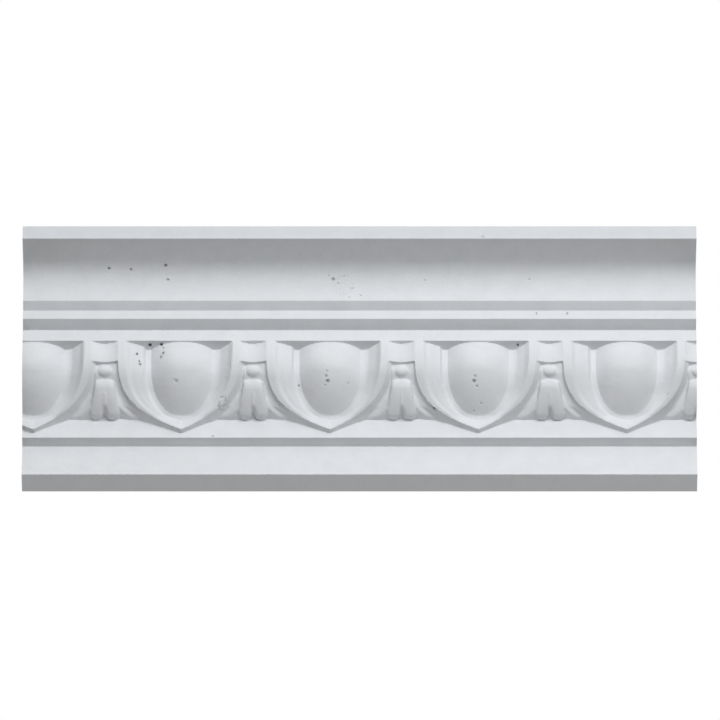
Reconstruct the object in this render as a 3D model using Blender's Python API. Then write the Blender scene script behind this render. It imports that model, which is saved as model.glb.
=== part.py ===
"""Section of an egg-and-dart cornice in cast plaster, as it sits between wall and ceiling.

Metres, +Z up, the run along X. The wall plane is y = 0 and the face looks along -Y. The origin is the centre
of the face that beds on the wall. The profile is laid out in two distances: depth, which runs from the front
of the top fillet towards the wall, and drop, which runs down from the ceiling. Every repeat of the ornament
is drawn by the same functions of u, the distance from an egg's centre line, or v, from a dart's, and w, the
distance down the face.
"""

import math

import bmesh
import bpy
from mathutils import Vector

MM = 0.001
NAME = "cornice_moulding"
ROOT_2 = math.sqrt(2)

# The run and the repeat of the ornament
LENGTH = 405 * MM
PITCH = 89.1 * MM
EGG_NEAREST_MIDDLE = -17.7 * MM

# Plain members above the carving, from the ceiling down
TOP_FILLET = 10.4 * MM
TOP_SOFFIT = 18.4 * MM
COVE_RADIUS = 17.2 * MM
COVE_STEPS = 10
UPPER_BEAD_SET = 3.6 * MM
UPPER_BEAD_GAP = 4.0 * MM
UPPER_BEAD = 7.8 * MM
LOWER_BEAD_SET = 5.4 * MM
LOWER_BEAD_GAP = 3.6 * MM
LOWER_BEAD = 9.7 * MM
QUIRK = 4.0 * MM
UPPER_QUIRK_FALL = 3.3 * MM
LOWER_QUIRK_FALL = 1.6 * MM
ARRIS = 0.8 * MM

# Plain members below the carving, and the back, hollowed by a flat slope between its two bedding faces
FASCIA_BELOW_CARVING = 4.2 * MM
FASCIA_SOFFIT = 7.4 * MM
FOOT_FASCIA = 23.7 * MM
FOOT_SOFFIT = 14.8 * MM
WALL_BED = 30.0 * MM
CEILING_BED = 40.0 * MM

# The carved band. Its heights are drawn over a flat face at 45 degrees, from the lower edge of the bead above
# it (w = 0) to the fascia. A vertical surface rises by as much as it goes down the face, and a soffit falls.
FASCIA_SET = 34.0 * MM
BAND = 55.2 * MM

# The egg, and the rim and cup of the shield round it
EGG_HALF_WIDTH = 18.4 * MM
EGG_SHOULDER = 15.6 * MM
EGG_LENGTH = 45.0 * MM
EGG_SET = 1.4 * MM
EGG_CROWN = 10.4 * MM
EGG_FALL = 7.4 * MM
EGG_CROWN_PLACE = 20.0 * MM
EGG_BEND = 6.5 * MM
EGG_FULLNESS = 2.2
EGG_OUTLINE = 2.2
LIP = 2.6 * MM
RIM_LEFT = 19.8 * MM
RIM_RIGHT = 16.4 * MM
RIM_FOOT = 8.2 * MM
RIM_FLAT = 4.4 * MM
RIM_FLAT_NARROWS = 20.0 * MM
RIM_FLAT_NARROWED = 48.0 * MM
RIM_HEIGHT = 11.4 * MM
RIM_LEAN = -0.12
RIM_BEND = 13.0 * MM
TIP_LIFT = 4.9 * MM
SHIELD_OUTLINE = 3.5
SHIELD_OUTLINE_LEFT = 4.1
CUP_DEPTH_TOP = 9.5 * MM
CUP_DEPTH_SIDE = 5.4 * MM
CUP_DEPTH_FOOT = 3.0 * MM
CUP_TOP_ENDS = 6.0 * MM
CUP_SIDE_STARTS = 30.0 * MM
CUP_FOOT_STARTS = 28.0 * MM
CUP_LEFT = ((0, 1), (0.06, 0.95), (0.16, 0.64), (0.33, 0.54), (0.56, 0.36), (0.8, 0.25), (0.91, 0.08), (1, 0))
CUP_RIGHT = ((0, 1), (0.22, 0.91), (0.5, 0.62), (0.75, 0.38), (1, 0))

# The shield's outer side
SIDE_STEEP_LEFT = 2.8
SIDE_STEEP_RIGHT = 1.1
SIDE_LEDGE_LEFT = 2.3 * MM
SIDE_LEDGE_RIGHT = 3.2 * MM
LEDGE_SLOPE = 0.12
SIDE_FOOT_STARTS = 39.0 * MM

# The panel between two shields, and the ground under the dart
PANEL = 12.9 * MM
PANEL_ARCH = 1.1 * MM
PANEL_DIP = 3.7 * MM
PANEL_HOLLOW = 8.0 * MM
GROUND_SET = 10.8 * MM
GROUND_HEIGHT = 9.9 * MM
GROUND_LEAN = -0.235
GROUND_BEND = 5.0 * MM

# The dart: its ball and collar, its main leaf with two lobes, and the leaf that flares on each side
BEAD_RADIUS = 4.0 * MM
BEAD_GAP = 1.0 * MM
BEAD_HEIGHT = 1.6 * MM
COLLAR = 2.5 * MM
COLLAR_SQUASH = 1.6
COLLAR_HEIGHT = 1.4 * MM
LEAF_GAP = 1.1 * MM
LEAF_TOP_HALF = 5.8 * MM
LEAF_FOOT_HALF = 10.3 * MM
LEAF_FOOT = 48.3 * MM
LEAF_HEIGHT = 9.2 * MM
LEAF_TOP_SET = 2.4 * MM
LEAF_TOP_SLOPE = 0.9
LEAF_TOP_BEND = 3.0 * MM
LEAF_CORNER = 1.2 * MM
LEAF_CLIFF = 6.0 * MM
LEAF_CLIFF_OUT = 0.6 * MM
LEAF_CLIFF_IN = 0.9 * MM
LEAF_ROUNDING = 1.5 * MM
LEAF_LEAN = 0.08
LEAF_FALL = 4.8 * MM
LEAF_FALL_STARTS = 30.0 * MM
LOBE_ROUNDING = 3.4 * MM
LOBE_STEEP = 0.24
LEAF_GROOVE = 3.6 * MM
LEAF_GROOVE_HALF = 1.3 * MM
LEAF_GROOVE_STARTS = 38.0 * MM
LEAF_GROOVE_FULL = 45.0 * MM
MIDRIB = 0.35 * MM
MIDRIB_HALF = 0.6 * MM
MIDRIB_STARTS = 31.0 * MM
MIDRIB_ENDS = 39.0 * MM
SIDE_LEAF_START = 27.0 * MM
SIDE_LEAF_END = 46.4 * MM
SIDE_LEAF_REACH = 24.0 * MM
SIDE_LEAF_OUT = 1.4 * MM
SIDE_LEAF_FULL = 36.0 * MM
SIDE_LEAF_EDGE = 4.0 * MM
SIDE_LEAF_EDGE_LEFT = 4.8 * MM
SIDE_LEAF_RISE = 0.95
SIDE_LEAF_FALL = 0.8
SIDE_LEAF_FALL_LEFT = 0.55
SIDE_LEAF_CURL = 3.2 * MM
SIDE_LEAF_FADE = 0.6
SIDE_LEAF_LIFT = 2.4 * MM

# How finely the band is carved, and what is kept of it
CARVING_STEP = 1.1 * MM
MOST_FACES = 9000

TIP = EGG_LENGTH + RIM_FOOT
NOTHING = -math.inf


def clear_scene():
    for obj in list(bpy.data.objects):
        bpy.data.objects.remove(obj, do_unlink=True)


def rise(start, end, x):
    """0 before start, 1 after end, and a smooth climb between them."""
    t = min(max((x - start) / (end - start), 0), 1)
    return t * t * (3 - 2 * t)


def soft_min(a, b, reach):
    """The lower of two heights, with their crossing rounded over this reach."""
    share = min(max(0.5 + 0.5 * (b - a) / reach, 0), 1)
    return b + (a - b) * share - reach * share * (1 - share)


def along_line(points, x):
    """The height at x of a line drawn through these points."""
    for (x0, y0), (x1, y1) in zip(points, points[1:]):
        if x <= x1:
            return y0 + (y1 - y0) * (x - x0) / (x1 - x0)
    return points[-1][1]


def rim_height(w):
    to_tip = max(w - EGG_LENGTH, 0) / RIM_FOOT
    return soft_min(w, RIM_HEIGHT + RIM_LEAN * w, RIM_BEND) + TIP_LIFT * to_tip**1.5


def cup_depth(w):
    side = CUP_DEPTH_TOP + (CUP_DEPTH_SIDE - CUP_DEPTH_TOP) * rise(CUP_TOP_ENDS, CUP_SIDE_STARTS, w)
    return side + (CUP_DEPTH_FOOT - CUP_DEPTH_SIDE) * rise(CUP_FOOT_STARTS, EGG_LENGTH, w)


def egg_radius(u, w):
    across = abs(u) / EGG_HALF_WIDTH
    down = max(w - EGG_SHOULDER, 0) / (EGG_LENGTH - EGG_SHOULDER)
    return (across**EGG_OUTLINE + down**EGG_OUTLINE) ** (1 / EGG_OUTLINE)


def outside_egg(u, w):
    across = abs(u) / EGG_HALF_WIDTH
    down = max(w - EGG_SHOULDER, 0) / (EGG_LENGTH - EGG_SHOULDER)
    radius = max(egg_radius(u, w), 1e-6)
    lean = EGG_OUTLINE - 1
    slope = math.hypot(across**lean / EGG_HALF_WIDTH, down**lean / (EGG_LENGTH - EGG_SHOULDER))
    return (radius - 1) * radius**lean / max(slope, 1)


def shield_outline(u):
    """The rim's full half width on this side, and how late it turns in towards the point at its foot."""
    if u < 0:
        return EGG_HALF_WIDTH + RIM_LEFT, SHIELD_OUTLINE_LEFT
    return EGG_HALF_WIDTH + RIM_RIGHT, SHIELD_OUTLINE


def inside_shield(u, w):
    """Distance inside the rim's outer edge, which comes to a point at the foot. Negative outside it."""
    full, power = shield_outline(u)
    if w >= TIP:
        return -math.hypot(u, w - TIP)
    half = full * (1 - (w / TIP) ** power)
    slope = full * power * (w / TIP) ** (power - 1) / TIP
    return (half - abs(u)) / math.hypot(1, slope)


def egg_height(u, w):
    """A dome over the groove's floor. Its spine rises upright, bends at the crown and falls away."""
    floor = rim_height(w) - cup_depth(w)
    below_crown = max(w - EGG_CROWN_PLACE, 0) / (EGG_LENGTH - EGG_CROWN_PLACE)
    spine = soft_min(w - EGG_SET, EGG_CROWN - EGG_FALL * below_crown**2, EGG_BEND)
    down = max(w - EGG_SHOULDER, 0) / (EGG_LENGTH - EGG_SHOULDER)
    half = EGG_HALF_WIDTH * (1 - down**EGG_OUTLINE) ** (1 / EGG_OUTLINE)
    return floor + max(spine - floor, 0) * (1 - (abs(u) / half) ** EGG_FULLNESS)


def shield_height(u, w):
    """The egg, the narrow groove round it, and the cup that climbs to the flat edge of the rim."""
    from_egg = outside_egg(u, w)
    if from_egg < 0:
        return egg_height(u, w)
    flat = RIM_FLAT * (1 - 0.7 * rise(RIM_FLAT_NARROWS, RIM_FLAT_NARROWED, w))
    slope_width = max(from_egg - LIP + inside_shield(u, w) - flat, 0.3 * MM)
    climb = min(max((from_egg - LIP) / slope_width, 0), 1)
    return rim_height(w) - cup_depth(w) * along_line(CUP_LEFT if u < 0 else CUP_RIGHT, climb)


def shield_side(u, w):
    """The rim's outer side: a drop to a nearly flat ledge, steeper on the left. At the foot it goes straight
    back under the rim."""
    outside = -inside_shield(u, w)
    steep, ledge = (SIDE_STEEP_LEFT, SIDE_LEDGE_LEFT) if u < 0 else (SIDE_STEEP_RIGHT, SIDE_LEDGE_RIGHT)
    to_ledge = min(outside * steep, ledge + LEDGE_SLOPE * outside)
    full, power = shield_outline(u)
    edge = TIP * max(1 - abs(u) / full, 0) ** (1 / power)
    foot = rise(SIDE_FOOT_STARTS, EGG_LENGTH, w)
    on_side = rim_height(min(w, TIP)) - to_ledge
    under_foot = rim_height(edge) - (w - edge)
    return on_side + (under_foot - on_side) * foot


def fascia_height(w):
    return w - ROOT_2 * FASCIA_SET


def ground_height(w):
    return max(soft_min(w - GROUND_SET, GROUND_HEIGHT + GROUND_LEAN * w, GROUND_BEND), fascia_height(w))


def panel_edge(v):
    return PANEL - PANEL_ARCH * (v / PANEL_HOLLOW) ** 2


def panel_height(v, w):
    """The saddle that bridges two shields over the dart, and its underside."""
    edge = panel_edge(v)
    face = min(w, edge)
    dip = PANEL_DIP * (1 - 0.6 * rise(0, PANEL, face)) * max(1 - (v / PANEL_HOLLOW) ** 2, 0)
    return rim_height(face) - dip - max(w - edge, 0)


def bead_height(v, w):
    """The small ball, and the low collar round it that runs down behind the leaf."""
    centre = PANEL + BEAD_GAP + BEAD_RADIUS
    from_centre = math.hypot(v, COLLAR_SQUASH * min(w - centre, 0))
    collar = ground_height(w) + COLLAR_HEIGHT * rise(0, 0.8 * MM, BEAD_RADIUS + COLLAR - from_centre)
    if w > centre + BEAD_RADIUS + LEAF_GAP + COLLAR:
        collar = NOTHING
    reach = 1 - (v / BEAD_RADIUS) ** 2 - ((w - centre) / BEAD_RADIUS) ** 2
    if reach <= 0:
        return collar
    return ground_height(w) + COLLAR_HEIGHT + BEAD_HEIGHT * reach**0.65


def leaf_height(v, w):
    """The dart's main leaf: a blunt top, straight sides that spread, and two round lobes at the foot."""
    top = PANEL + BEAD_GAP + 2 * BEAD_RADIUS + LEAF_GAP
    along = min(max((w - top) / (LEAF_FOOT - top), 0), 1)
    half = LEAF_TOP_HALF + (LEAF_FOOT_HALF - LEAF_TOP_HALF) * along
    lobe_foot = LEAF_FOOT - LOBE_ROUNDING * abs((abs(v) - half / 2) / (half / 2)) ** 2.5
    shoulder = top + LEAF_CORNER * (v / LEAF_TOP_HALF) ** 4
    inside = min(half - abs(v), w - shoulder, LOBE_STEEP * (lobe_foot - w))
    if inside < -LEAF_CLIFF_OUT:
        return NOTHING
    face = soft_min(LEAF_HEIGHT - LEAF_TOP_SET + LEAF_TOP_SLOPE * (w - top), LEAF_HEIGHT, LEAF_TOP_BEND)
    face -= LEAF_LEAN * (w - top)
    face -= LEAF_FALL * max((w - LEAF_FALL_STARTS) / (LEAF_FOOT - LEAF_FALL_STARTS), 0) ** 2
    groove = LEAF_GROOVE * math.exp(-((v / LEAF_GROOVE_HALF) ** 2))
    groove *= rise(LEAF_GROOVE_STARTS, LEAF_GROOVE_FULL, w)
    midrib = MIDRIB * math.exp(-((v / MIDRIB_HALF) ** 2))
    midrib *= rise(MIDRIB_STARTS - MM, MIDRIB_STARTS + MM, w) - rise(MIDRIB_ENDS - MM, MIDRIB_ENDS + MM, w)
    rounding = LEAF_ROUNDING * (abs(v) / half) ** 4
    return face - groove + midrib - rounding - LEAF_CLIFF * (1 - rise(-LEAF_CLIFF_OUT, LEAF_CLIFF_IN, inside))


def side_leaf_height(v, w):
    """The thin leaf that flares from behind the main one, folded along a ridge, to a point by the rim."""
    if w < SIDE_LEAF_START:
        return NOTHING
    foot = SIDE_LEAF_END - SIDE_LEAF_CURL * max(1 - abs(v) / SIDE_LEAF_REACH, 0) ** 1.5
    place = min(w, foot)
    along = (place - SIDE_LEAF_START) / (SIDE_LEAF_END - SIDE_LEAF_START)
    reach = SIDE_LEAF_REACH - LEAF_TOP_HALF
    outer = LEAF_TOP_HALF + SIDE_LEAF_OUT + reach * along**2
    lean = 2 * reach * along / (SIDE_LEAF_END - SIDE_LEAF_START)
    inside = (outer - abs(v)) / math.hypot(1, lean)
    if inside < 0:
        return NOTHING
    edge, fall = (SIDE_LEAF_EDGE_LEFT, SIDE_LEAF_FALL_LEFT) if v < 0 else (SIDE_LEAF_EDGE, SIDE_LEAF_FALL)
    folded = SIDE_LEAF_RISE * min(inside, edge) - fall * max(inside - edge, 0)
    folded *= 1 - SIDE_LEAF_FADE * along**2
    lift = SIDE_LEAF_LIFT * (1.25 - along) * rise(SIDE_LEAF_START, SIDE_LEAF_FULL, w)
    return ground_height(place) + max(lift + folded, 0) - (w - place)


def along_repeat(x):
    """Distance from the nearest egg's centre line, and from the dart's beside it."""
    u = (x - EGG_NEAREST_MIDDLE + PITCH / 2) % PITCH - PITCH / 2
    gap_middle = (PITCH + RIM_RIGHT - RIM_LEFT) / 2
    return u, u - gap_middle if u > 0 else u - gap_middle + PITCH


def carving_height(x, w):
    """Height of the carving over the 45 degree face, at x along the run and w down the face."""
    u, v = along_repeat(x)
    if inside_shield(u, w) > 0:
        height = shield_height(u, w)
    else:
        height = max(ground_height(w), shield_side(u, w), bead_height(v, w), panel_height(v, w))
        height = max(height, leaf_height(v, w), side_leaf_height(v, w))
    return max(height, -w, fascia_height(w))


def quirk(soffit_drop, fall, face, top):
    """The sunk slot between a member's sloping soffit and the bead below, whose top arris is taken off."""
    return [
        (face + QUIRK, soffit_drop + fall),
        (face + QUIRK, top),
        (face + ARRIS, top),
        (face, top + ARRIS),
    ]


def plain_members():
    """(depth, drop) of every plain corner above the carved band, and of every one below and behind it."""
    cove_start = Vector((TOP_SOFFIT, TOP_FILLET))
    cove = [
        cove_start + COVE_RADIUS * Vector((math.sin(a), 1 - math.cos(a)))
        for a in (math.pi / 2 * i / COVE_STEPS for i in range(COVE_STEPS + 1))
    ]
    upper_face = cove[-1].x + UPPER_BEAD_SET
    upper_top = cove[-1].y + UPPER_BEAD_GAP
    lower_face = upper_face + LOWER_BEAD_SET
    lower_top = upper_top + UPPER_BEAD + LOWER_BEAD_GAP
    band_top = lower_top + LOWER_BEAD
    fascia = lower_face + FASCIA_SET
    fascia_foot = band_top + ROOT_2 * BAND - FASCIA_SET + FASCIA_BELOW_CARVING
    foot_face = fascia + FASCIA_SOFFIT
    foot = fascia_foot + FOOT_FASCIA
    wall = foot_face + FOOT_SOFFIT
    above = [(0, 0), (0, TOP_FILLET)] + [tuple(p) for p in cove]
    above += quirk(cove[-1].y, UPPER_QUIRK_FALL, upper_face, upper_top)
    above += [(upper_face, upper_top + UPPER_BEAD)]
    above += quirk(upper_top + UPPER_BEAD, LOWER_QUIRK_FALL, lower_face, lower_top)
    above += [(lower_face, band_top)]
    below = [(fascia, fascia_foot), (foot_face, fascia_foot), (foot_face, foot), (wall, foot)]
    below += [(wall, foot - WALL_BED), (CEILING_BED, 0)]
    return above, below, wall, foot


def material():
    plaster = bpy.data.materials.new("cast_plaster")
    plaster.use_nodes = True
    shader = plaster.node_tree.nodes["Principled BSDF"]
    shader.inputs["Base Color"].default_value = (0.80, 0.82, 0.84, 1)
    shader.inputs["Roughness"].default_value = 0.85
    shader.inputs["Metallic"].default_value = 0.0
    return plaster


def build():
    """The profile swept along the run, with the band's points moved out by the carving's height."""
    above, below, wall, foot = plain_members()
    band_start = Vector(above[-1])
    rows = round(BAND / CARVING_STEP)
    columns = round(LENGTH / CARVING_STEP)

    def place(depth, drop, x=-LENGTH / 2):
        return Vector((x, depth - wall, foot - WALL_BED / 2 - drop))

    bm = bmesh.new()
    band_row = bm.verts.layers.int.new("band_row")
    band = [band_start + Vector((1, 1)) * (BAND * i / rows / ROOT_2) for i in range(1, rows + 1)]
    ring = []
    for i, (depth, drop) in enumerate(above + band + below):
        ring.append(bm.verts.new(place(depth, drop)))
        ring[-1][band_row] = i - len(above) + 1
    edges = [bm.edges.new((a, b)) for a, b in zip(ring, ring[1:] + ring[:1])]
    step = Vector((LENGTH / columns, 0, 0))
    bmesh.ops.spin(bm, geom=ring + edges, dvec=step, angle=0, steps=columns, cent=(0, 0, 0), axis=(1, 0, 0))

    outward = Vector((0, -1, -1)) / ROOT_2
    for vert in bm.verts:
        if 0 < vert[band_row] <= rows:
            vert.co += outward * carving_height(vert.co.x, BAND * vert[band_row] / rows)

    bmesh.ops.holes_fill(bm, edges=[e for e in bm.edges if e.is_boundary], sides=0)
    bmesh.ops.recalc_face_normals(bm, faces=bm.faces)
    bmesh.ops.dissolve_limit(bm, angle_limit=math.radians(0.05), verts=bm.verts, edges=bm.edges)
    bmesh.ops.triangulate(bm, faces=bm.faces)
    faces = len(bm.faces)
    mesh = bpy.data.meshes.new(NAME)
    bm.to_mesh(mesh)
    bm.free()

    obj = bpy.data.objects.new(NAME, mesh)
    obj.data.materials.append(material())
    collection = bpy.data.collections.new(NAME)
    bpy.context.scene.collection.children.link(collection)
    collection.objects.link(obj)
    thin = obj.modifiers.new("keep the carving's main planes", "DECIMATE")
    thin.ratio = min(MOST_FACES / faces, 1)
    return obj


clear_scene()
build()
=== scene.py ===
"""An egg-and-dart cornice section in cast plaster: the surface of the casting, the studio and the camera.

Metres, +Z up, in the frame of the solids. The run lies along X and the face looks along -Y.
"""

import math

import bmesh
import bpy
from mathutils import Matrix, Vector, noise


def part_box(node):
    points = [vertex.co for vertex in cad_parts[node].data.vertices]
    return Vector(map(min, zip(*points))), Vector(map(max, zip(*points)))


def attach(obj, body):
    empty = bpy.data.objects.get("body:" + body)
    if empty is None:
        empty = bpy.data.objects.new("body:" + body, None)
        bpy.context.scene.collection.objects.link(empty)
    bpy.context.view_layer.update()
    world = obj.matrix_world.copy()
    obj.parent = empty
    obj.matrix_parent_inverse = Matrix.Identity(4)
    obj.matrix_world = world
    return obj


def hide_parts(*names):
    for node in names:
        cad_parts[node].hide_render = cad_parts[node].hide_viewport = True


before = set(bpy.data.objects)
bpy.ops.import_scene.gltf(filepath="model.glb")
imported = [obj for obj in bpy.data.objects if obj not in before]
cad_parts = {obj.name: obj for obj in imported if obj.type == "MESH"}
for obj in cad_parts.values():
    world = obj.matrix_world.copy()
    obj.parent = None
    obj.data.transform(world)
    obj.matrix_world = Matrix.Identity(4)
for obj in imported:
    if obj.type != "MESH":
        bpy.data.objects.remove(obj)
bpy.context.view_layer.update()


# The casting. One length of cornice in gypsum plaster, from a flexible mould, cut square at both ends.
# A fillet, a cove and two flat beads stand over the carved band of egg and dart, and two fascias under it.
# The face is as it left the mould, with soft arrises and small air holes, and the back is a plain slope.
MM = 0.001
ROOT_2 = math.sqrt(2)
low, high = (Vector(corner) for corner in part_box("cornice_moulding"))
LENGTH = high.x - low.x

# The carved band is drawn as heights over a face that leans 45 degrees. From here on, u is the distance along
# the run from an egg's centre line, v the distance from a dart's, and w the distance down the band.
PITCH = 89.1 * MM
EGG_NEAREST_MIDDLE = -17.7 * MM
BAND = 55.2 * MM
CARVING_STEP = 0.68 * MM
NOTHING = -1.0


def rise(start, end, x):
    """0 before start, 1 after end, and a smooth climb between them."""
    t = min(max((x - start) / (end - start), 0), 1)
    return t * t * (3 - 2 * t)


def soft_min(a, b, reach):
    """The lower of two heights, with their crossing rounded over this reach."""
    share = min(max(0.5 + 0.5 * (b - a) / reach, 0), 1)
    return b + (a - b) * share - reach * share * (1 - share)


def along_line(points, x):
    """The height at x of a line drawn through these points."""
    for (x0, y0), (x1, y1) in zip(points, points[1:]):
        if x <= x1:
            return y0 + (y1 - y0) * (x - x0) / (x1 - x0)
    return points[-1][1]


# The egg lies in a shield: a narrow groove, then a hollowed rim whose edge runs to a point at the foot.
# The rim is wider and its outer side steeper on the left. The cup lines give the hollow's depth across it,
# from the groove's floor to the flat edge, as shares of its width and of cup_depth.
EGG_HALF_WIDTH = 18.4 * MM
EGG_SHOULDER = 15.6 * MM
EGG_LENGTH = 45.0 * MM
EGG_SET = 1.4 * MM
EGG_CROWN = 10.4 * MM
EGG_CROWN_PLACE = 20.0 * MM
EGG_FALL = 7.4 * MM
EGG_BEND = 6.5 * MM
EGG_FULLNESS = 2.2
EGG_OUTLINE = 2.2
LIP = 2.6 * MM
RIM_LEFT = 19.8 * MM
RIM_RIGHT = 16.4 * MM
RIM_FOOT = 8.2 * MM
RIM_FLAT = 4.4 * MM
RIM_FLAT_LOST = 0.7
RIM_FLAT_NARROWS = 20.0 * MM
RIM_FLAT_NARROWED = 48.0 * MM
RIM_HEIGHT = 11.4 * MM
RIM_LEAN = -0.12
RIM_BEND = 13.0 * MM
SHIELD_OUTLINE_LEFT = 4.1
SHIELD_OUTLINE_RIGHT = 3.5
TIP = EGG_LENGTH + RIM_FOOT
TIP_LIFT = 4.9 * MM
TIP_LIFT_POWER = 1.5
CUP_DEPTH_TOP = 9.5 * MM
CUP_DEPTH_SIDE = 5.4 * MM
CUP_DEPTH_FOOT = 3.0 * MM
CUP_TOP_ENDS = 6.0 * MM
CUP_SIDE_STARTS = 30.0 * MM
CUP_FOOT_STARTS = 28.0 * MM
CUP_LEFT = ((0, 1), (0.06, 0.95), (0.16, 0.64), (0.33, 0.54), (0.56, 0.36), (0.8, 0.25), (0.91, 0.08), (1, 0))
CUP_RIGHT = ((0, 1), (0.22, 0.91), (0.5, 0.62), (0.75, 0.38), (1, 0))
CUP_NARROWEST = 0.3 * MM
SIDE_STEEP_LEFT = 2.8
SIDE_STEEP_RIGHT = 1.1
SIDE_LEDGE_LEFT = 2.3 * MM
SIDE_LEDGE_RIGHT = 3.2 * MM
LEDGE_SLOPE = 0.12
SIDE_FOOT_STARTS = 39.0 * MM


def rim_height(w):
    to_tip = max(w - EGG_LENGTH, 0) / RIM_FOOT
    return soft_min(w, RIM_HEIGHT + RIM_LEAN * w, RIM_BEND) + TIP_LIFT * to_tip**TIP_LIFT_POWER


def cup_depth(w):
    side = CUP_DEPTH_TOP + (CUP_DEPTH_SIDE - CUP_DEPTH_TOP) * rise(CUP_TOP_ENDS, CUP_SIDE_STARTS, w)
    return side + (CUP_DEPTH_FOOT - CUP_DEPTH_SIDE) * rise(CUP_FOOT_STARTS, EGG_LENGTH, w)


def outside_egg(u, w):
    """Distance outside the egg's outline. Negative inside it."""
    across = abs(u) / EGG_HALF_WIDTH
    down = max(w - EGG_SHOULDER, 0) / (EGG_LENGTH - EGG_SHOULDER)
    # The two least values keep the egg's very middle from dividing by nothing
    radius = max((across**EGG_OUTLINE + down**EGG_OUTLINE) ** (1 / EGG_OUTLINE), 1e-6)
    lean = EGG_OUTLINE - 1
    slope = math.hypot(across**lean / EGG_HALF_WIDTH, down**lean / (EGG_LENGTH - EGG_SHOULDER))
    return (radius - 1) * radius**lean / max(slope, 1)


def shield_outline(u):
    """The rim's full half width on this side, and how late it turns in towards the point at its foot."""
    if u < 0:
        return EGG_HALF_WIDTH + RIM_LEFT, SHIELD_OUTLINE_LEFT
    return EGG_HALF_WIDTH + RIM_RIGHT, SHIELD_OUTLINE_RIGHT


def inside_shield(u, w):
    """Distance inside the rim's outer edge, which comes to a point at the foot. Negative outside it."""
    full, power = shield_outline(u)
    if w >= TIP:
        return -math.hypot(u, w - TIP)
    half = full * (1 - (w / TIP) ** power)
    slope = full * power * (w / TIP) ** (power - 1) / TIP
    return (half - abs(u)) / math.hypot(1, slope)


def egg_height(u, w):
    """A dome over the groove's floor. Its spine rises upright, bends at the crown and falls away."""
    floor = rim_height(w) - cup_depth(w)
    below_crown = max(w - EGG_CROWN_PLACE, 0) / (EGG_LENGTH - EGG_CROWN_PLACE)
    spine = soft_min(w - EGG_SET, EGG_CROWN - EGG_FALL * below_crown**2, EGG_BEND)
    down = max(w - EGG_SHOULDER, 0) / (EGG_LENGTH - EGG_SHOULDER)
    half = EGG_HALF_WIDTH * (1 - down**EGG_OUTLINE) ** (1 / EGG_OUTLINE)
    return floor + max(spine - floor, 0) * (1 - (abs(u) / half) ** EGG_FULLNESS)


def shield_height(u, w):
    """The egg, the narrow groove round it, and the cup that climbs to the flat edge of the rim."""
    from_egg = outside_egg(u, w)
    if from_egg < 0:
        return egg_height(u, w)
    flat = RIM_FLAT * (1 - RIM_FLAT_LOST * rise(RIM_FLAT_NARROWS, RIM_FLAT_NARROWED, w))
    slope_width = max(from_egg - LIP + inside_shield(u, w) - flat, CUP_NARROWEST)
    climb = min(max((from_egg - LIP) / slope_width, 0), 1)
    return rim_height(w) - cup_depth(w) * along_line(CUP_LEFT if u < 0 else CUP_RIGHT, climb)


def shield_side(u, w):
    """The rim's outer side: a drop to a nearly flat ledge. At the foot it goes straight back instead."""
    outside = -inside_shield(u, w)
    steep, ledge = (SIDE_STEEP_LEFT, SIDE_LEDGE_LEFT) if u < 0 else (SIDE_STEEP_RIGHT, SIDE_LEDGE_RIGHT)
    to_ledge = min(outside * steep, ledge + LEDGE_SLOPE * outside)
    full, power = shield_outline(u)
    edge = TIP * max(1 - abs(u) / full, 0) ** (1 / power)
    foot = rise(SIDE_FOOT_STARTS, EGG_LENGTH, w)
    on_side = rim_height(min(w, TIP)) - to_ledge
    under_foot = rim_height(edge) - (w - edge)
    return on_side + (under_foot - on_side) * foot


# Between two shields lies a low ground, which meets the fascia at its foot. A small panel, hollow like a
# saddle, bridges them at the top, over the dart.
FASCIA_SET = 34.0 * MM
GROUND_SET = 10.8 * MM
GROUND_HEIGHT = 9.9 * MM
GROUND_LEAN = -0.235
GROUND_BEND = 5.0 * MM
PANEL = 12.9 * MM
PANEL_ARCH = 1.1 * MM
PANEL_HOLLOW = 8.0 * MM
PANEL_DIP = 3.7 * MM
PANEL_DIP_LOST = 0.6


def fascia_height(w):
    return w - ROOT_2 * FASCIA_SET


def ground_height(w):
    return max(soft_min(w - GROUND_SET, GROUND_HEIGHT + GROUND_LEAN * w, GROUND_BEND), fascia_height(w))


def panel_edge(v):
    return PANEL - PANEL_ARCH * (v / PANEL_HOLLOW) ** 2


def panel_height(v, w):
    """The saddle over the dart, and its underside."""
    edge = panel_edge(v)
    face = min(w, edge)
    dip = PANEL_DIP * (1 - PANEL_DIP_LOST * rise(0, PANEL, face)) * max(1 - (v / PANEL_HOLLOW) ** 2, 0)
    return rim_height(face) - dip - max(w - edge, 0)


# The dart starts with a small ball, in a low collar that runs down behind the leaf
BEAD_GAP = 1.0 * MM
BEAD_RADIUS = 4.0 * MM
BEAD_HEIGHT = 1.6 * MM
BEAD_BLUNT = 0.65
COLLAR = 2.5 * MM
COLLAR_SQUASH = 1.6
COLLAR_HEIGHT = 1.4 * MM
COLLAR_EDGE = 0.8 * MM
LEAF_GAP = 1.1 * MM


def bead_height(v, w):
    centre = PANEL + BEAD_GAP + BEAD_RADIUS
    from_centre = math.hypot(v, COLLAR_SQUASH * min(w - centre, 0))
    collar = ground_height(w) + COLLAR_HEIGHT * rise(0, COLLAR_EDGE, BEAD_RADIUS + COLLAR - from_centre)
    if w > centre + BEAD_RADIUS + LEAF_GAP + COLLAR:
        collar = NOTHING
    reach = 1 - (v / BEAD_RADIUS) ** 2 - ((w - centre) / BEAD_RADIUS) ** 2
    if reach <= 0:
        return collar
    return ground_height(w) + COLLAR_HEIGHT + BEAD_HEIGHT * reach**BEAD_BLUNT


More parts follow.
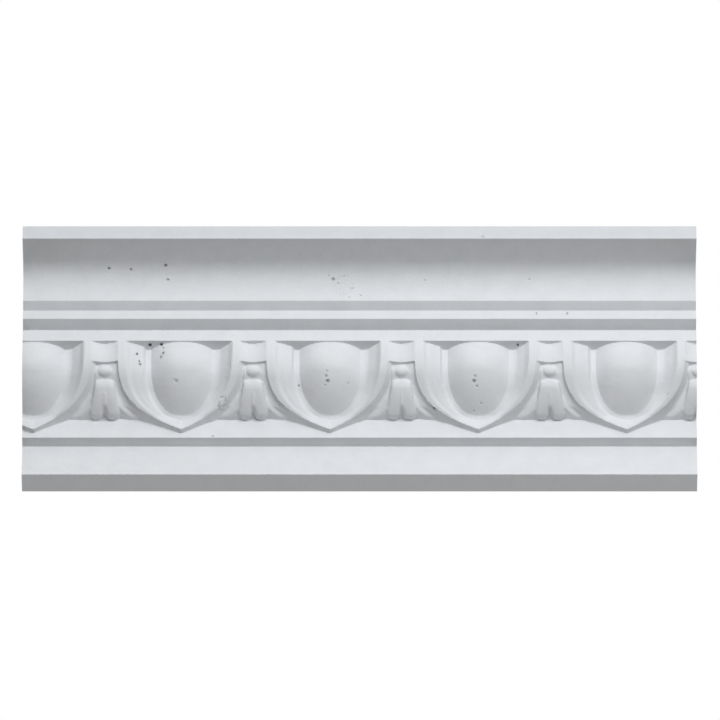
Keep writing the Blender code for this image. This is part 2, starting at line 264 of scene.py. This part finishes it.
# The dart's main leaf has a blunt top, straight sides that spread, and two round lobes at the foot, with a
# groove between them and a thin midrib above it
LEAF_TOP_HALF = 5.8 * MM
LEAF_FOOT_HALF = 10.3 * MM
LEAF_FOOT = 48.3 * MM
LEAF_HEIGHT = 9.2 * MM
LEAF_TOP_SET = 2.4 * MM
LEAF_TOP_SLOPE = 0.9
LEAF_TOP_BEND = 3.0 * MM
LEAF_CORNER = 1.2 * MM
LEAF_LEAN = 0.08
LEAF_FALL = 4.8 * MM
LEAF_FALL_STARTS = 30.0 * MM
LEAF_ROUNDING = 1.5 * MM
LEAF_CLIFF = 6.0 * MM
LEAF_CLIFF_OUT = 0.6 * MM
LEAF_CLIFF_IN = 0.9 * MM
LOBE_ROUNDING = 3.4 * MM
LOBE_POWER = 2.5
LOBE_STEEP = 0.24
LEAF_GROOVE = 3.6 * MM
LEAF_GROOVE_HALF = 1.3 * MM
LEAF_GROOVE_STARTS = 38.0 * MM
LEAF_GROOVE_FULL = 45.0 * MM
MIDRIB = 0.35 * MM
MIDRIB_HALF = 0.6 * MM
MIDRIB_STARTS = 30.0 * MM
MIDRIB_FULL = 32.0 * MM
MIDRIB_FADES = 38.0 * MM
MIDRIB_ENDS = 40.0 * MM


def leaf_height(v, w):
    top = PANEL + BEAD_GAP + 2 * BEAD_RADIUS + LEAF_GAP
    along = min(max((w - top) / (LEAF_FOOT - top), 0), 1)
    half = LEAF_TOP_HALF + (LEAF_FOOT_HALF - LEAF_TOP_HALF) * along
    lobe_foot = LEAF_FOOT - LOBE_ROUNDING * abs((abs(v) - half / 2) / (half / 2)) ** LOBE_POWER
    shoulder = top + LEAF_CORNER * (v / LEAF_TOP_HALF) ** 4
    inside = min(half - abs(v), w - shoulder, LOBE_STEEP * (lobe_foot - w))
    if inside < -LEAF_CLIFF_OUT:
        return NOTHING
    face = soft_min(LEAF_HEIGHT - LEAF_TOP_SET + LEAF_TOP_SLOPE * (w - top), LEAF_HEIGHT, LEAF_TOP_BEND)
    face -= LEAF_LEAN * (w - top)
    face -= LEAF_FALL * max((w - LEAF_FALL_STARTS) / (LEAF_FOOT - LEAF_FALL_STARTS), 0) ** 2
    groove = LEAF_GROOVE * math.exp(-((v / LEAF_GROOVE_HALF) ** 2))
    groove *= rise(LEAF_GROOVE_STARTS, LEAF_GROOVE_FULL, w)
    midrib = MIDRIB * math.exp(-((v / MIDRIB_HALF) ** 2))
    midrib *= rise(MIDRIB_STARTS, MIDRIB_FULL, w) - rise(MIDRIB_FADES, MIDRIB_ENDS, w)
    rounding = LEAF_ROUNDING * (abs(v) / half) ** 4
    return face - groove + midrib - rounding - LEAF_CLIFF * (1 - rise(-LEAF_CLIFF_OUT, LEAF_CLIFF_IN, inside))


# A thin leaf flares from behind the main one on each side, folded along a ridge, to a point by the rim
SIDE_LEAF_START = 27.0 * MM
SIDE_LEAF_FULL = 36.0 * MM
SIDE_LEAF_END = 46.4 * MM
SIDE_LEAF_REACH = 24.0 * MM
SIDE_LEAF_OUT = 1.4 * MM
SIDE_LEAF_CURL = 3.2 * MM
SIDE_LEAF_CURL_POWER = 1.5
SIDE_LEAF_EDGE_LEFT = 4.8 * MM
SIDE_LEAF_EDGE_RIGHT = 4.0 * MM
SIDE_LEAF_RISE = 0.95
SIDE_LEAF_FALL_LEFT = 0.55
SIDE_LEAF_FALL_RIGHT = 0.8
SIDE_LEAF_FADE = 0.6
SIDE_LEAF_LIFT = 2.4 * MM
SIDE_LEAF_LIFT_AT_ROOT = 1.25


def side_leaf_height(v, w):
    if w < SIDE_LEAF_START:
        return NOTHING
    foot = SIDE_LEAF_END - SIDE_LEAF_CURL * max(1 - abs(v) / SIDE_LEAF_REACH, 0) ** SIDE_LEAF_CURL_POWER
    place = min(w, foot)
    along = (place - SIDE_LEAF_START) / (SIDE_LEAF_END - SIDE_LEAF_START)
    reach = SIDE_LEAF_REACH - LEAF_TOP_HALF
    outer = LEAF_TOP_HALF + SIDE_LEAF_OUT + reach * along**2
    lean = 2 * reach * along / (SIDE_LEAF_END - SIDE_LEAF_START)
    inside = (outer - abs(v)) / math.hypot(1, lean)
    if inside < 0:
        return NOTHING
    edge, fall = SIDE_LEAF_EDGE_RIGHT, SIDE_LEAF_FALL_RIGHT
    if v < 0:
        edge, fall = SIDE_LEAF_EDGE_LEFT, SIDE_LEAF_FALL_LEFT
    folded = SIDE_LEAF_RISE * min(inside, edge) - fall * max(inside - edge, 0)
    folded *= 1 - SIDE_LEAF_FADE * along**2
    lift = SIDE_LEAF_LIFT * (SIDE_LEAF_LIFT_AT_ROOT - along) * rise(SIDE_LEAF_START, SIDE_LEAF_FULL, w)
    return ground_height(place) + max(lift + folded, 0) - (w - place)


def along_repeat(x):
    """Distance from the nearest egg's centre line, and from the dart's beside it."""
    u = (x - EGG_NEAREST_MIDDLE + PITCH / 2) % PITCH - PITCH / 2
    gap_middle = (PITCH + RIM_RIGHT - RIM_LEFT) / 2
    return u, u - gap_middle if u > 0 else u - gap_middle + PITCH


def carving_height(x, w):
    """Height of the carving over the leaning face, at x along the run and w down the band."""
    u, v = along_repeat(x)
    if inside_shield(u, w) > 0:
        height = shield_height(u, w)
    else:
        height = max(ground_height(w), shield_side(u, w), bead_height(v, w), panel_height(v, w))
        height = max(height, leaf_height(v, w), side_leaf_height(v, w))
    return max(height, -w, fascia_height(w))


# The plain members, each set back from the one before, and the back. The cove is a quarter round. A sunk slot
# parts it from the upper bead and the two beads from each other.
TOP_FILLET = 10.4 * MM
TOP_SOFFIT = 18.4 * MM
COVE_RADIUS = 17.2 * MM
COVE_STEPS = 12
UPPER_BEAD_SET = 3.6 * MM
UPPER_BEAD_GAP = 4.0 * MM
UPPER_BEAD = 7.8 * MM
UPPER_QUIRK_FALL = 3.3 * MM
LOWER_BEAD_SET = 5.4 * MM
LOWER_BEAD_GAP = 3.6 * MM
LOWER_BEAD = 9.7 * MM
LOWER_QUIRK_FALL = 1.6 * MM
QUIRK = 4.0 * MM
ARRIS = 0.8 * MM
FASCIA_BELOW_CARVING = 4.2 * MM
FASCIA_SOFFIT = 7.4 * MM
FOOT_FASCIA = 23.7 * MM
FOOT_SOFFIT = 14.8 * MM
WALL_BED = 30.0 * MM
CEILING_BED = 40.0 * MM
WORN = 0.5 * MM
NEARLY_STRAIGHT = math.radians(20)


def quirk(soffit_drop, fall, face, top):
    """The sunk slot between a member's sloping soffit and the bead below, whose top arris is taken off."""
    return [
        (face + QUIRK, soffit_drop + fall),
        (face + QUIRK, top),
        (face + ARRIS, top),
        (face, top + ARRIS),
    ]


def plain_members():
    """Corners, as depth behind the front and drop below the ceiling, above the carved band and after it."""
    cove_start = Vector((TOP_SOFFIT, TOP_FILLET))
    cove = [
        cove_start + COVE_RADIUS * Vector((math.sin(a), 1 - math.cos(a)))
        for a in (math.pi / 2 * i / COVE_STEPS for i in range(COVE_STEPS + 1))
    ]
    upper_face = cove[-1].x + UPPER_BEAD_SET
    upper_top = cove[-1].y + UPPER_BEAD_GAP
    lower_face = upper_face + LOWER_BEAD_SET
    lower_top = upper_top + UPPER_BEAD + LOWER_BEAD_GAP
    band_top = lower_top + LOWER_BEAD
    fascia = lower_face + FASCIA_SET
    fascia_foot = band_top + ROOT_2 * BAND - FASCIA_SET + FASCIA_BELOW_CARVING
    foot_face = fascia + FASCIA_SOFFIT
    foot = fascia_foot + FOOT_FASCIA
    wall = foot_face + FOOT_SOFFIT
    above = [(0, 0), (0, TOP_FILLET)] + [tuple(p) for p in cove]
    above += quirk(cove[-1].y, UPPER_QUIRK_FALL, upper_face, upper_top)
    above += [(upper_face, upper_top + UPPER_BEAD)]
    above += quirk(upper_top + UPPER_BEAD, LOWER_QUIRK_FALL, lower_face, lower_top)
    above += [(lower_face, band_top)]
    below = [(fascia, band_top + ROOT_2 * BAND - FASCIA_SET), (fascia, fascia_foot), (foot_face, fascia_foot)]
    below += [(foot_face, foot), (wall, foot), (wall, foot - WALL_BED), (CEILING_BED, 0), (0, 0)]
    return [Vector(p) for p in above], [Vector(p) for p in below]


def worn(corners):
    """The same outline with three points for each sharp corner, as the mould leaves it slightly round."""
    rows = [corners[0]]
    for before, corner, after in zip(corners, corners[1:], corners[2:]):
        back = before - corner
        on = after - corner
        if abs(back.angle(on) - math.pi) < NEARLY_STRAIGHT:
            rows.append(corner)
            continue
        back = back.normalized() * min(WORN, back.length / 3)
        on = on.normalized() * min(WORN, on.length / 3)
        rows += [corner + back, corner + (back + on) / 4, corner + on]
    return rows + [corners[-1]]


# The surface is one grid, with a row of points for each corner and for each step down the band. It is wrapped
# round the section, then its band is raised to the carving, and its two ends are closed.
above, below = plain_members()
band_steps = round(BAND / CARVING_STEP)
columns = round(LENGTH / CARVING_STEP)
top_rows = worn(above)
band_rows = [above[-1] + Vector((1, 1)) * (BAND * i / band_steps / ROOT_2) for i in range(1, band_steps)]
rows = top_rows + band_rows + worn(below)
first_band_row = len(top_rows) - 1

bm = bmesh.new()
bmesh.ops.create_grid(bm, x_segments=columns, y_segments=len(rows) - 1, size=0.5)
band_row = bm.verts.layers.int.new("band_row")
dirt_and_shade = bm.verts.layers.float.new("dirt_and_shade")
for vert in bm.verts:
    row = round((vert.co.y + 0.5) * (len(rows) - 1))
    depth, drop = rows[row]
    vert.co = Vector((low.x + (vert.co.x + 0.5) * LENGTH, low.y + depth, high.z - drop))
    vert[band_row] = row - first_band_row

NUDGE = 0.01 * MM
LEAST_CREASE_SLOPE = 0.25
MOST_CREASE_SLOPE = 4


def creases(x, w):
    """Distances to the lines where the carving turns sharply."""
    u, v = along_repeat(x)
    return inside_shield(u, w), outside_egg(u, w), (panel_edge(v) - w if inside_shield(u, w) < 0 else 1.0)


def onto_crease(x, w):
    """A point within half a step of a crease slides onto it, so that the carving's edges are clean lines."""
    here = creases(x, w)
    nearest = min(range(len(here)), key=lambda i: abs(here[i]))
    if abs(here[nearest]) > CARVING_STEP / 2:
        return x, w
    across = (creases(x + NUDGE, w)[nearest] - here[nearest]) / NUDGE
    down = (creases(x, w + NUDGE)[nearest] - here[nearest]) / NUDGE
    steep = across**2 + down**2
    if not LEAST_CREASE_SLOPE < steep < MOST_CREASE_SLOPE:
        return x, w
    return x - here[nearest] * across / steep, w - here[nearest] * down / steep


outward = Vector((0, -1, -1)) / ROOT_2
downward = Vector((0, 1, -1)) / ROOT_2
for vert in bm.verts:
    if not 0 < vert[band_row] < band_steps:
        continue
    x = vert.co.x
    w = vert[band_row] * BAND / band_steps
    new_x, new_w = x, w
    if low.x + CARVING_STEP / 2 < x < high.x - CARVING_STEP / 2 and CARVING_STEP < w < BAND - CARVING_STEP:
        new_x, new_w = onto_crease(x, w)
    vert.co += Vector((new_x - x, 0, 0)) + downward * (new_w - w) + outward * carving_height(new_x, new_w)

bmesh.ops.remove_doubles(bm, verts=bm.verts, dist=0.001 * MM)
bmesh.ops.holes_fill(bm, edges=[e for e in bm.edges if e.is_boundary], sides=0)
bmesh.ops.recalc_face_normals(bm, faces=bm.faces)
bm.normal_update()


def down_face(point):
    """How far a point is from the top front edge, on a line at 45 degrees down the whole face."""
    return (point.y - low.y + high.z - point.z) / ROOT_2


def finer_spot(x, s, reach, longest_edges):
    """The points round a place on the face, with their distances from it, after the mesh is made finer."""
    spot = [
        vert
        for vert in bm.verts
        if abs(vert.co.x - x) < reach and abs(down_face(vert.co) - s) < reach and vert.normal.dot(outward) > 0
    ]
    for longest in longest_edges:
        edges = {edge for vert in spot for edge in vert.link_edges if edge.calc_length() > longest}
        if not edges:
            continue
        made = bmesh.ops.subdivide_edges(bm, edges=list(edges), cuts=2, use_grid_fill=True)
        spot += [part for part in made["geom_inner"] if isinstance(part, bmesh.types.BMVert)]
        spot = [vert for vert in spot if vert.is_valid]
    return [(vert, math.hypot(vert.co.x - x, down_face(vert.co) - s)) for vert in set(spot)]


# The mould gives a little along the run, so nothing on the face is quite straight
UNEVEN = 0.14 * MM
UNEVEN_SIZE = 14.0 * MM
FACING_OUT = 0.1
for vert in bm.verts:
    if vert.normal.dot(outward) > FACING_OUT and down_face(vert.co) > TOP_FILLET / 2:
        vert.co -= outward * UNEVEN * (0.5 + 0.5 * noise.noise(vert.co / UNEVEN_SIZE))

# Air caught against the mould leaves small ragged holes. They are painted dark grey, most in the middle of a
# hole: partly dust, partly painted shade for the hollow. Each is its place along the run, its distance down
# the face and its radius, in mm, then its depth as a share of the radius.
AIR_HOLES = (
    (-150.9, 25.2, 0.96, 0.8), (-137.7, 25.8, 0.84, 0.8), (-116.7, 23.4, 1.08, 0.8),
    (-115.5, 32.1, 0.90, 0.8), (39.3, 32.4, 0.72, 0.5), (102.3, 31.8, 0.72, 0.5), (-15.9, 31.8, 1.14, 0.6),
    (-18.3, 29.4, 0.66, 0.5), (-12.9, 34.2, 0.72, 0.5), (-9.3, 30.0, 0.60, 0.5), (-4.5, 37.2, 0.72, 0.5),
    (0.9, 41.4, 0.66, 0.5), (-6.3, 42.6, 0.60, 0.5), (122.4, 50.3, 0.84, 0.8), (124.9, 52.4, 0.84, 0.8),
    (106.5, 52.4, 0.78, 0.7), (-128.8, 71.0, 1.26, 1), (-125.9, 71.2, 1.14, 1), (-119.1, 71.0, 1.08, 1),
    (-117.9, 73.2, 0.72, 0.6), (-133.7, 76.8, 0.78, 1), (-110.1, 93.0, 1.32, 0.35),
    (-111.3, 91.8, 0.72, 0.4), (-121.8, 96.6, 0.78, 0.35), (-19.5, 87.0, 0.78, 0.4),
    (-20.1, 90.0, 1.02, 0.45), (-19.2, 93.0, 1.26, 0.6), (-20.7, 95.4, 0.78, 0.4), (-6.9, 94.2, 0.90, 0.3),
    (-36.5, 95.8, 0.72, 0.8), (69.3, 90.0, 0.90, 0.5), (68.7, 93.0, 1.32, 0.55), (70.5, 96.0, 0.84, 0.5),
    (72.9, 106.2, 0.72, 0.4), (68.7, 111.0, 0.72, 0.4), (44.7, 109.2, 1.14, 1), (99.0, 97.2, 0.78, 0.7),
    (185.7, 101.4, 1.38, 0.5), (74.1, 6.6, 1.20, 0.5), (-87.9, 126.6, 1.20, 0.5), (95.1, 71.2, 0.84, 1),
    (-117.8, 76.0, 0.66, 1), (-118.2, 76.8, 0.72, 1), (-118.7, 77.6, 0.78, 1), (-119.2, 78.5, 0.72, 1),
    (-119.7, 79.4, 0.66, 1), (-132.3, 81.2, 0.60, 1), (-131.9, 82.2, 0.72, 1), (-131.6, 83.0, 0.72, 1),
)
HOLE_RAGGED = 0.35
HOLE_RAGGED_SIZE = 0.8 * MM
HOLE_DIRT_AND_SHADE_STEEP = 2
HOLE_EDGES = (1.0 * MM, 0.3 * MM)
for x, s, radius, depth in AIR_HOLES:
    radius *= MM
    for vert, away in finer_spot(x * MM, s * MM, radius + CARVING_STEP, HOLE_EDGES):
        edge = radius * (1 + HOLE_RAGGED * noise.noise(vert.co / HOLE_RAGGED_SIZE))
        if away < edge:
            vert.co -= outward * radius * depth * math.sqrt(1 - (away / edge) ** 2)
            # How much dark grey the hole is painted, most in its middle: partly dust, partly painted shade
            vert[dirt_and_shade] = depth * min(HOLE_DIRT_AND_SHADE_STEEP * (1 - away / edge), 1)

# The mix dried lumpy in two patches, by the first shield and in the cove. Their pits are painted grey, partly
# dirt and partly painted shade in the hollows. Each is its place along the run, its distance down the face,
# its reach, and its lumps' size and height, in mm, then how grey its pits are.
LUMPY_PATCHES = ((-82.2, 106.6, 5.6, 1.7, 0.9, 0.3), (-9.6, 35.4, 9.0, 1.0, 0.2, 0.12))
LUMP_EDGE = 0.4 * MM
LUMPS_FADE_FROM = 0.5
LUMPS_SUNK = 0.3
LUMP_DIRT_AND_SHADE_STEEP = 2
for x, s, reach, size, height, grey in LUMPY_PATCHES:
    for vert, away in finer_spot(x * MM, s * MM, reach * MM, (LUMP_EDGE,)):
        fade = 1 - rise(LUMPS_FADE_FROM * reach * MM, reach * MM, away)
        lump = noise.noise(vert.co / (size * MM)) * fade
        vert.co += outward * height * MM * (lump - LUMPS_SUNK * abs(lump))
        # Grey painted into the pits: partly dirt, partly painted shade
        vert[dirt_and_shade] = max(vert[dirt_and_shade], min(max(-LUMP_DIRT_AND_SHADE_STEEP * grey * lump, 0), grey))

SHARP_FROM = math.radians(32)
for face in bm.faces:
    face.smooth = True
mesh = bpy.data.meshes.new("cast_moulding")
bm.to_mesh(mesh)
bm.free()
mesh.set_sharp_from_angle(angle=SHARP_FROM)
moulding = bpy.data.objects.new("cast_moulding", mesh)
bpy.context.scene.collection.objects.link(moulding)
weighted = moulding.modifiers.new("flat faces stay flat", "WEIGHTED_NORMAL")
weighted.keep_sharp = True
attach(moulding, "root")
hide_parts("cornice_moulding")

# Sizes of what the plaster's surface shows. The real grain is under 0.1 mm and wouldn't show, so it is drawn
# at 0.9 mm, about a pixel and a half.
CLOUD_SIZE = 11.0 * MM
RIPPLE_SIZE = 3.5 * MM
RIPPLE_DEPTH = 0.22 * MM
GRAIN_SIZE = 0.9 * MM
GRAIN_DEPTH = 0.18 * MM
# Above the top fillet's foot, where its greyer paint starts and where it is full
FILLET_GREY_STARTS = 0.2 * MM
FILLET_GREY_FULL = 0.8 * MM


def linear(hex_colour):
    """An sRGB hex colour as the linear values that a shader takes."""
    parts = [int(hex_colour[i : i + 2], 16) / 255 for i in (0, 2, 4)]
    return tuple(p / 12.92 if p <= 0.04045 else ((p + 0.055) / 1.055) ** 2.4 for p in parts) + (1.0,)


def add_node(tree, kind, settings, links):
    """A node of this kind with its settings by name and its inputs linked or set."""
    node = tree.nodes.new(kind)
    for name, value in settings.items():
        setattr(node, name, value)
    for name, value in links.items():
        if isinstance(value, bpy.types.NodeSocket):
            tree.links.new(value, node.inputs[name])
        else:
            node.inputs[name].default_value = value
    return node


def cast_plaster():
    """Gypsum plaster off a flexible mould: matt, cool white, cloudy where it dried unevenly, finely grained.
    The top fillet is painted a little greyer than the rest. The air holes and the lumps' pits are painted
    dark grey, partly for dust and partly as painted shade in the hollows."""
    material = bpy.data.materials.new("cast_gypsum_plaster")
    material.use_nodes = True
    tree = material.node_tree
    shader = tree.nodes["Principled BSDF"]
    shader.inputs["IOR"].default_value = 1.52
    shader.inputs["Specular IOR Level"].default_value = 0.25
    place = add_node(tree, "ShaderNodeTexCoord", {}, {}).outputs["Object"]
    cloud = add_node(
        tree, "ShaderNodeTexNoise", {}, {"Vector": place, "Scale": 1 / CLOUD_SIZE, "Detail": 4.0}
    )
    plaster = add_node(
        tree,
        "ShaderNodeMix",
        {"data_type": "RGBA"},
        {"Factor": cloud.outputs["Fac"], "A": linear("dfe1e3"), "B": linear("ebecee")},
    ).outputs["Result"]
    height = add_node(tree, "ShaderNodeSeparateXYZ", {}, {"Vector": place}).outputs["Z"]
    # The top fillet is painted a little greyer than the rest, fading in just above its foot
    fillet_foot = high.z - TOP_FILLET
    fillet_grey_share = add_node(
        tree,
        "ShaderNodeMapRange",
        {},
        {"Value": height, "From Min": fillet_foot + FILLET_GREY_STARTS, "From Max": fillet_foot + FILLET_GREY_FULL},
    )
    greyed = add_node(
        tree,
        "ShaderNodeMix",
        {"data_type": "RGBA", "blend_type": "MULTIPLY"},
        {"Factor": fillet_grey_share.outputs["Result"], "A": plaster, "B": linear("ecedee")},
    ).outputs["Result"]
    # Dark grey painted in the air holes and the lumps' pits: partly dust, partly painted shade in the hollows
    hole_dirt_and_shade = add_node(tree, "ShaderNodeAttribute", {"attribute_name": "dirt_and_shade"}, {}).outputs["Fac"]
    colour = add_node(
        tree,
        "ShaderNodeMix",
        {"data_type": "RGBA"},
        {"Factor": hole_dirt_and_shade, "A": greyed, "B": linear("77726c")},
    ).outputs["Result"]
    tree.links.new(colour, shader.inputs["Base Color"])
    chalky = add_node(
        tree, "ShaderNodeMapRange", {}, {"Value": cloud.outputs["Fac"], "To Min": 0.84, "To Max": 0.96}
    )
    tree.links.new(chalky.outputs["Result"], shader.inputs["Roughness"])
    ripple = add_node(
        tree, "ShaderNodeTexNoise", {}, {"Vector": place, "Scale": 1 / RIPPLE_SIZE, "Detail": 3.0}
    )
    rippled = add_node(
        tree,
        "ShaderNodeBump",
        {},
        {"Height": ripple.outputs["Fac"], "Strength": 0.8, "Distance": RIPPLE_DEPTH},
    )
    grain = add_node(
        tree, "ShaderNodeTexNoise", {}, {"Vector": place, "Scale": 1 / GRAIN_SIZE, "Detail": 3.0}
    )
    grained = add_node(
        tree,
        "ShaderNodeBump",
        {},
        {
            "Height": grain.outputs["Fac"],
            "Strength": 0.7,
            "Distance": GRAIN_DEPTH,
            "Normal": rippled.outputs["Normal"],
        },
    )
    tree.links.new(grained.outputs["Normal"], shader.inputs["Normal"])
    return material


mesh.materials.append(cast_plaster())


# The studio. The casting is held up against nothing, high over a pale floor. One broad soft lamp stands level
# with it in front. Weak ones stand nearer on the right, above, low behind and low on the right, in an even
# white surround.
FLOOR_HALF = 40.0
FLOOR_DROP = 7.0
floor_mesh = bpy.data.meshes.new("studio_floor")
bm = bmesh.new()
bmesh.ops.create_grid(bm, x_segments=1, y_segments=1, size=FLOOR_HALF)
bmesh.ops.translate(bm, verts=bm.verts, vec=(0, 0, -FLOOR_DROP))
bm.to_mesh(floor_mesh)
bm.free()
floor = bpy.data.objects.new("studio_floor", floor_mesh)
floor.visible_diffuse = False
bpy.context.scene.collection.objects.link(floor)

# Matt pale paint, glowing a little so that it doesn't darken far from the lamps
floor_paint = bpy.data.materials.new("pale_floor")
floor_paint.use_nodes = True
floor_shader = floor_paint.node_tree.nodes["Principled BSDF"]
floor_shader.inputs["Base Color"].default_value = linear("e6e6e4")
floor_shader.inputs["Roughness"].default_value = 0.8
floor_shader.inputs["Emission Color"].default_value = linear("e6e6e4")
floor_shader.inputs["Emission Strength"].default_value = 0.6
floor_mesh.materials.append(floor_paint)

# The point that the camera and the lamps are turned to: behind the front and below the top
MIDDLE_BEHIND = 45.0 * MM
MIDDLE_BELOW = 68.7 * MM
middle = Vector((0.3 * MM, low.y + MIDDLE_BEHIND, high.z - MIDDLE_BELOW))


def soft_lamp(name, right, up, distance, width, height, power, colour):
    """An oval lamp turned to the casting, placed by its distance and its degrees from straight in front."""
    data = bpy.data.lights.new(name, "AREA")
    data.shape = "ELLIPSE"
    data.size = width
    data.size_y = height
    data.energy = power
    data.color = linear(colour)[:3]
    lamp = bpy.data.objects.new(name, data)
    across = math.radians(right)
    above = math.radians(up)
    level = math.cos(above)
    to_lamp = Vector((math.sin(across) * level, -math.cos(across) * level, math.sin(above)))
    lamp.location = middle + to_lamp * distance
    lamp.rotation_euler = to_lamp.to_track_quat("Z", "Y").to_euler()
    lamp.visible_camera = False
    bpy.context.scene.collection.objects.link(lamp)


soft_lamp("front_lamp", 8, -2, 1.4, 1.3, 0.6, 14.1, "fbfdff")
soft_lamp("right_lamp", 24, 0, 0.7, 0.3, 0.3, 0.25, "fbfdff")
soft_lamp("high_lamp", 0, 40, 1.0, 0.6, 0.6, 1.4, "fbfdff")
soft_lamp("low_back_lamp", 180, -30, 1.8, 1.0, 1.0, 9.2, "fffefc")
soft_lamp("low_right_lamp", 90, -45, 1.0, 0.6, 0.6, 0.5, "ffffff")

# The surround lights the casting weakly, and the camera sees it as plain white
world = bpy.data.worlds.new("white_surround")
bpy.context.scene.world = world
world.use_nodes = True
tree = world.node_tree
surround = tree.nodes["Background"]
surround.inputs["Color"].default_value = linear("ffffff")
surround.inputs["Strength"].default_value = 0.205
seen = add_node(tree, "ShaderNodeBackground", {}, {"Color": linear("ffffff"), "Strength": 1.0})
path = add_node(tree, "ShaderNodeLightPath", {}, {})
both = add_node(
    tree,
    "ShaderNodeMixShader",
    {},
    {0: path.outputs["Is Camera Ray"], 1: surround.outputs["Background"], 2: seen.outputs["Background"]},
)
tree.links.new(both.outputs["Shader"], tree.nodes["World Output"].inputs["Surface"])


# The camera looks up at the face from 45 degrees below the front, through a long lens.
PIXEL = 0.6 * MM
FRAME_WIDTH = 720 * PIXEL
LENS = 600
camera_data = bpy.data.cameras.new("camera")
camera_data.lens = LENS
camera_data.clip_end = 100
camera = bpy.data.objects.new("camera", camera_data)
camera.location = middle + outward * (FRAME_WIDTH * LENS / camera_data.sensor_width)
camera.rotation_euler = outward.to_track_quat("Z", "Y").to_euler()
bpy.context.scene.collection.objects.link(camera)
bpy.context.scene.camera = camera
bpy.context.scene.view_settings.view_transform = "Standard"
